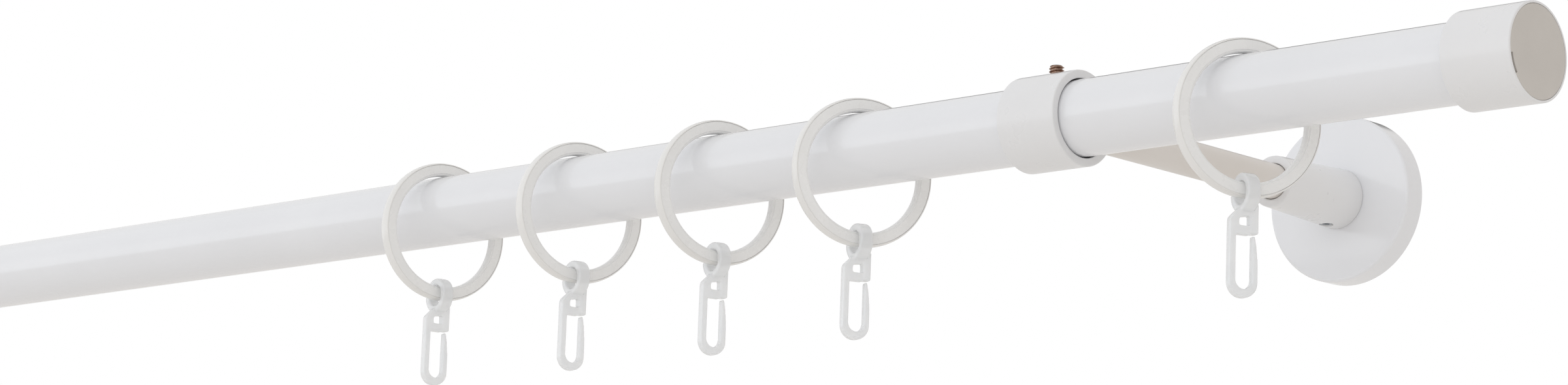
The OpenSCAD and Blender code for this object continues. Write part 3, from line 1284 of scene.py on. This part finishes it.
@dataclass(frozen=True)
class Viewpoint:
    """Camera to the right of the set and a little below it, looking up and to the left along the tube."""

    place: tuple[float, float, float] = (1.1703, -0.9841, -0.2342)
    heading: float = 43.339
    rise: float = 10.874
    tilt: float = 2.11
    lens: float = 101.65

    def build(self) -> None:
        """Makes the camera and gives it to the scene."""
        data = bpy.data.cameras.new("camera")
        data.lens = self.lens
        data.sensor_width = 36.0
        data.clip_start = 0.05
        camera = bpy.data.objects.new("camera", data)
        bpy.context.scene.collection.objects.link(camera)
        heading = Matrix.Rotation(math.radians(self.heading), 4, "Z")
        rise = Matrix.Rotation(math.radians(90 + self.rise), 4, "X")
        tilt = Matrix.Rotation(math.radians(self.tilt), 4, "Z")
        camera.matrix_world = Matrix.Translation(self.place) @ heading @ rise @ tilt
        bpy.context.scene.camera = camera


@dataclass(frozen=True)
class Softbox:
    """A far soft light: where it stands, how wide and tall it looks, its brightness and its soft edge."""

    towards: tuple[float, float, float]
    width: float
    height: float
    strength: float
    softness: float = 0.5


@dataclass(frozen=True)
class Studio:
    """White sweep, a warm dim side and a cool bright side, far softboxes, a dark flag, and a pale floor."""

    floor_height: float = -0.5
    bright: str = "#FFFFFF"
    cool_side: tuple[float, float, float] = (0.94, 0.955, 0.975)
    warm_side: tuple[float, float, float] = (0.72, 0.695, 0.67)
    turn: tuple[float, float, float] = (-0.62, -0.75, -0.20)
    boxes: tuple[Softbox, ...] = (
        Softbox((-0.66, -0.70, 0.16), 0.55, 0.16, 0.12),
        Softbox((-0.25, -0.95, -0.20), 0.80, 0.50, 0.36, 0.9),
    )
    flags: tuple[Softbox, ...] = (Softbox((-0.56, 0.80, 0.36), 0.20, 0.16, -0.75),)

    def build(self) -> None:
        """Makes the surroundings and the floor, and keeps whites true."""
        bpy.context.scene.view_settings.view_transform = "Standard"
        bpy.context.scene.view_settings.look = "None"
        self.surroundings()
        self.floor()

    def patch(
        self, tree: bpy.types.NodeTree, where: bpy.types.NodeSocket, box: Softbox
    ) -> bpy.types.NodeSocket:
        """Brightness that one softbox, or one dark flag, adds in each direction.

        Args:
            tree: Node tree of the world.
            where: Direction that is looked in.
            box: The softbox.

        Returns:
            The brightness.
        """
        ahead = Vector(box.towards).normalized()
        across = ahead.cross(Vector((0, 0, 1))).normalized()
        up = across.cross(ahead)
        total = None
        for axis, size in ((across, box.width), (up, box.height)):
            along = add_node(
                tree, "ShaderNodeVectorMath", {0: where, 1: tuple(axis)}, operation="DOT_PRODUCT"
            )
            far = add_node(tree, "ShaderNodeMath", {0: along.outputs["Value"]}, operation="ABSOLUTE")
            inside = add_node(
                tree,
                "ShaderNodeMapRange",
                {
                    "Value": far.outputs["Value"],
                    "From Min": size * (1 - box.softness),
                    "From Max": size * (1 + box.softness),
                    "To Min": 1.0,
                    "To Max": 0.0,
                },
                interpolation_type="SMOOTHSTEP",
            ).outputs["Result"]
            if total:
                inside = add_node(
                    tree, "ShaderNodeMath", {0: total, 1: inside}, operation="MULTIPLY"
                ).outputs["Value"]
            total = inside
        front = add_node(tree, "ShaderNodeVectorMath", {0: where, 1: tuple(ahead)}, operation="DOT_PRODUCT")
        seen = add_node(
            tree, "ShaderNodeMath", {0: front.outputs["Value"], 1: 0.0}, operation="GREATER_THAN"
        )
        lit = add_node(tree, "ShaderNodeMath", {0: total, 1: seen.outputs["Value"]}, operation="MULTIPLY")
        return add_node(
            tree, "ShaderNodeMath", {0: lit.outputs["Value"], 1: box.strength}, operation="MULTIPLY"
        ).outputs["Value"]

    def surroundings(self) -> None:
        """Lights the set from all round, and shows plain white behind it and through the clear hooks."""
        world = bpy.data.worlds.new("studio")
        world.use_nodes = True
        bpy.context.scene.world = world
        tree = world.node_tree
        tree.nodes.clear()
        where = add_node(tree, "ShaderNodeTexCoord").outputs["Generated"]
        turned = add_node(
            tree,
            "ShaderNodeVectorMath",
            {0: where, 1: tuple(Vector(self.turn).normalized())},
            operation="DOT_PRODUCT",
        )
        share = add_node(
            tree,
            "ShaderNodeMapRange",
            {"Value": turned.outputs["Value"], "From Min": -1.0, "From Max": 1.0},
        )
        walls = add_node(
            tree,
            "ShaderNodeMix",
            {0: share.outputs["Result"], 6: (*self.warm_side, 1), 7: (*self.cool_side, 1)},
            data_type="RGBA",
        ).outputs[2]
        level = None
        for box in (*self.boxes, *self.flags):
            added = self.patch(tree, where, box)
            if level:
                added = add_node(
                    tree, "ShaderNodeMath", {0: level, 1: added}, operation="ADD"
                ).outputs["Value"]
            level = added
        lift = add_node(tree, "ShaderNodeMath", {0: level, 1: 1.0}, operation="ADD")
        room = add_node(
            tree, "ShaderNodeBackground", {"Color": walls, "Strength": lift.outputs["Value"]}
        )
        sweep = add_node(tree, "ShaderNodeBackground", {"Color": linear(self.bright), "Strength": 1.0})
        rays = add_node(tree, "ShaderNodeLightPath")
        direct = add_node(
            tree,
            "ShaderNodeMath",
            {0: rays.outputs["Is Camera Ray"], 1: rays.outputs["Is Transmission Ray"]},
            operation="MAXIMUM",
        )
        shown = add_node(
            tree,
            "ShaderNodeMixShader",
            {0: direct.outputs["Value"], 1: room.outputs["Background"], 2: sweep.outputs["Background"]},
        )
        add_node(tree, "ShaderNodeOutputWorld", {"Surface": shown.outputs["Shader"]})

    def floor(self) -> None:
        """Pale floor well below the set."""
        shape = bmesh.new()
        bmesh.ops.create_grid(shape, x_segments=2, y_segments=2, size=12.0)
        bmesh.ops.translate(shape, vec=(0, 0, self.floor_height), verts=shape.verts)
        mesh = bpy.data.meshes.new("floor")
        shape.to_mesh(mesh)
        shape.free()
        material = bpy.data.materials.new("pale_floor_paint")
        material.use_nodes = True
        tree = material.node_tree
        tree.nodes.clear()
        where = add_node(tree, "ShaderNodeTexCoord").outputs["Object"]
        cloud = add_node(tree, "ShaderNodeTexNoise", {"Vector": where, "Scale": 1.5, "Detail": 2.0})
        colour = add_node(
            tree,
            "ShaderNodeMix",
            {0: cloud.outputs["Fac"], 6: linear("#F7F5F2"), 7: linear("#F3F1EE")},
            data_type="RGBA",
        )
        shader = add_node(
            tree, "ShaderNodeBsdfPrincipled", {"Base Color": colour.outputs[2], "Roughness": 0.8}
        )
        add_node(tree, "ShaderNodeOutputMaterial", {"Surface": shader.outputs["BSDF"]})
        mesh.materials.append(material)
        floor = bpy.data.objects.new("floor", mesh)
        bpy.context.scene.collection.objects.link(floor)


# ---------------------------------------------------------------- the whole set


def hook_runs() -> dict[str, tuple[Vector, Vector]]:
    """Where each hook's eye is and which way its ring runs there.

    Returns:
        By hook node: the eye's centre and the level direction of the ring towards the wall.
    """
    runs = {}
    for joint in frame["joints"]:
        if joint["name"].startswith("hook_"):
            runs[joint["child"]] = (Vector(joint["pos_m"]), -Vector(joint["axis"]).normalized())
    return runs


def hang_hooks(bench: Bench, runs: dict[str, tuple[Vector, Vector]]) -> None:
    """Hangs one moulding, copied, in every ring.

    Args:
        bench: Where the pieces are put.
        runs: Eye centre and direction by hook node.
    """
    moulding = CurtainHook().shape()
    for node, (eye, run) in runs.items():
        side = SIDES[node.split("_")[1]]
        across = side * run.cross(Vector((0, 0, 1)))
        place = Matrix.Translation(eye) @ Matrix(
            ((across.x, run.x, 0, 0), (across.y, run.y, 0, 0), (0, 0, 1, 0), (0, 0, 0, 1))
        )
        bench.put(node, moulding.copy(), place, CLEAR, crease=180.0)
    moulding.free()


def main() -> None:
    """Builds the camera, the set and the studio."""
    logging.basicConfig(level=logging.INFO, format="%(message)s")
    Viewpoint().build()
    bench = Bench(frame["record"])
    runs = hook_runs()
    RodTube().build(bench)
    for side in SIDES:
        WallBracket(side).build(bench)
        RodHolder(side).build(bench)
        EndCap(side).build(bench)
        for number in range(1, RINGS_PER_SIDE + 1):
            CurtainRing(side, number).build(bench, runs[f"hook_{side}_{number}"][1])
    hang_hooks(bench, runs)
    Studio().build()
    LOG.info("%d pieces", bench.count)


if __name__ == "__main__":
    main()
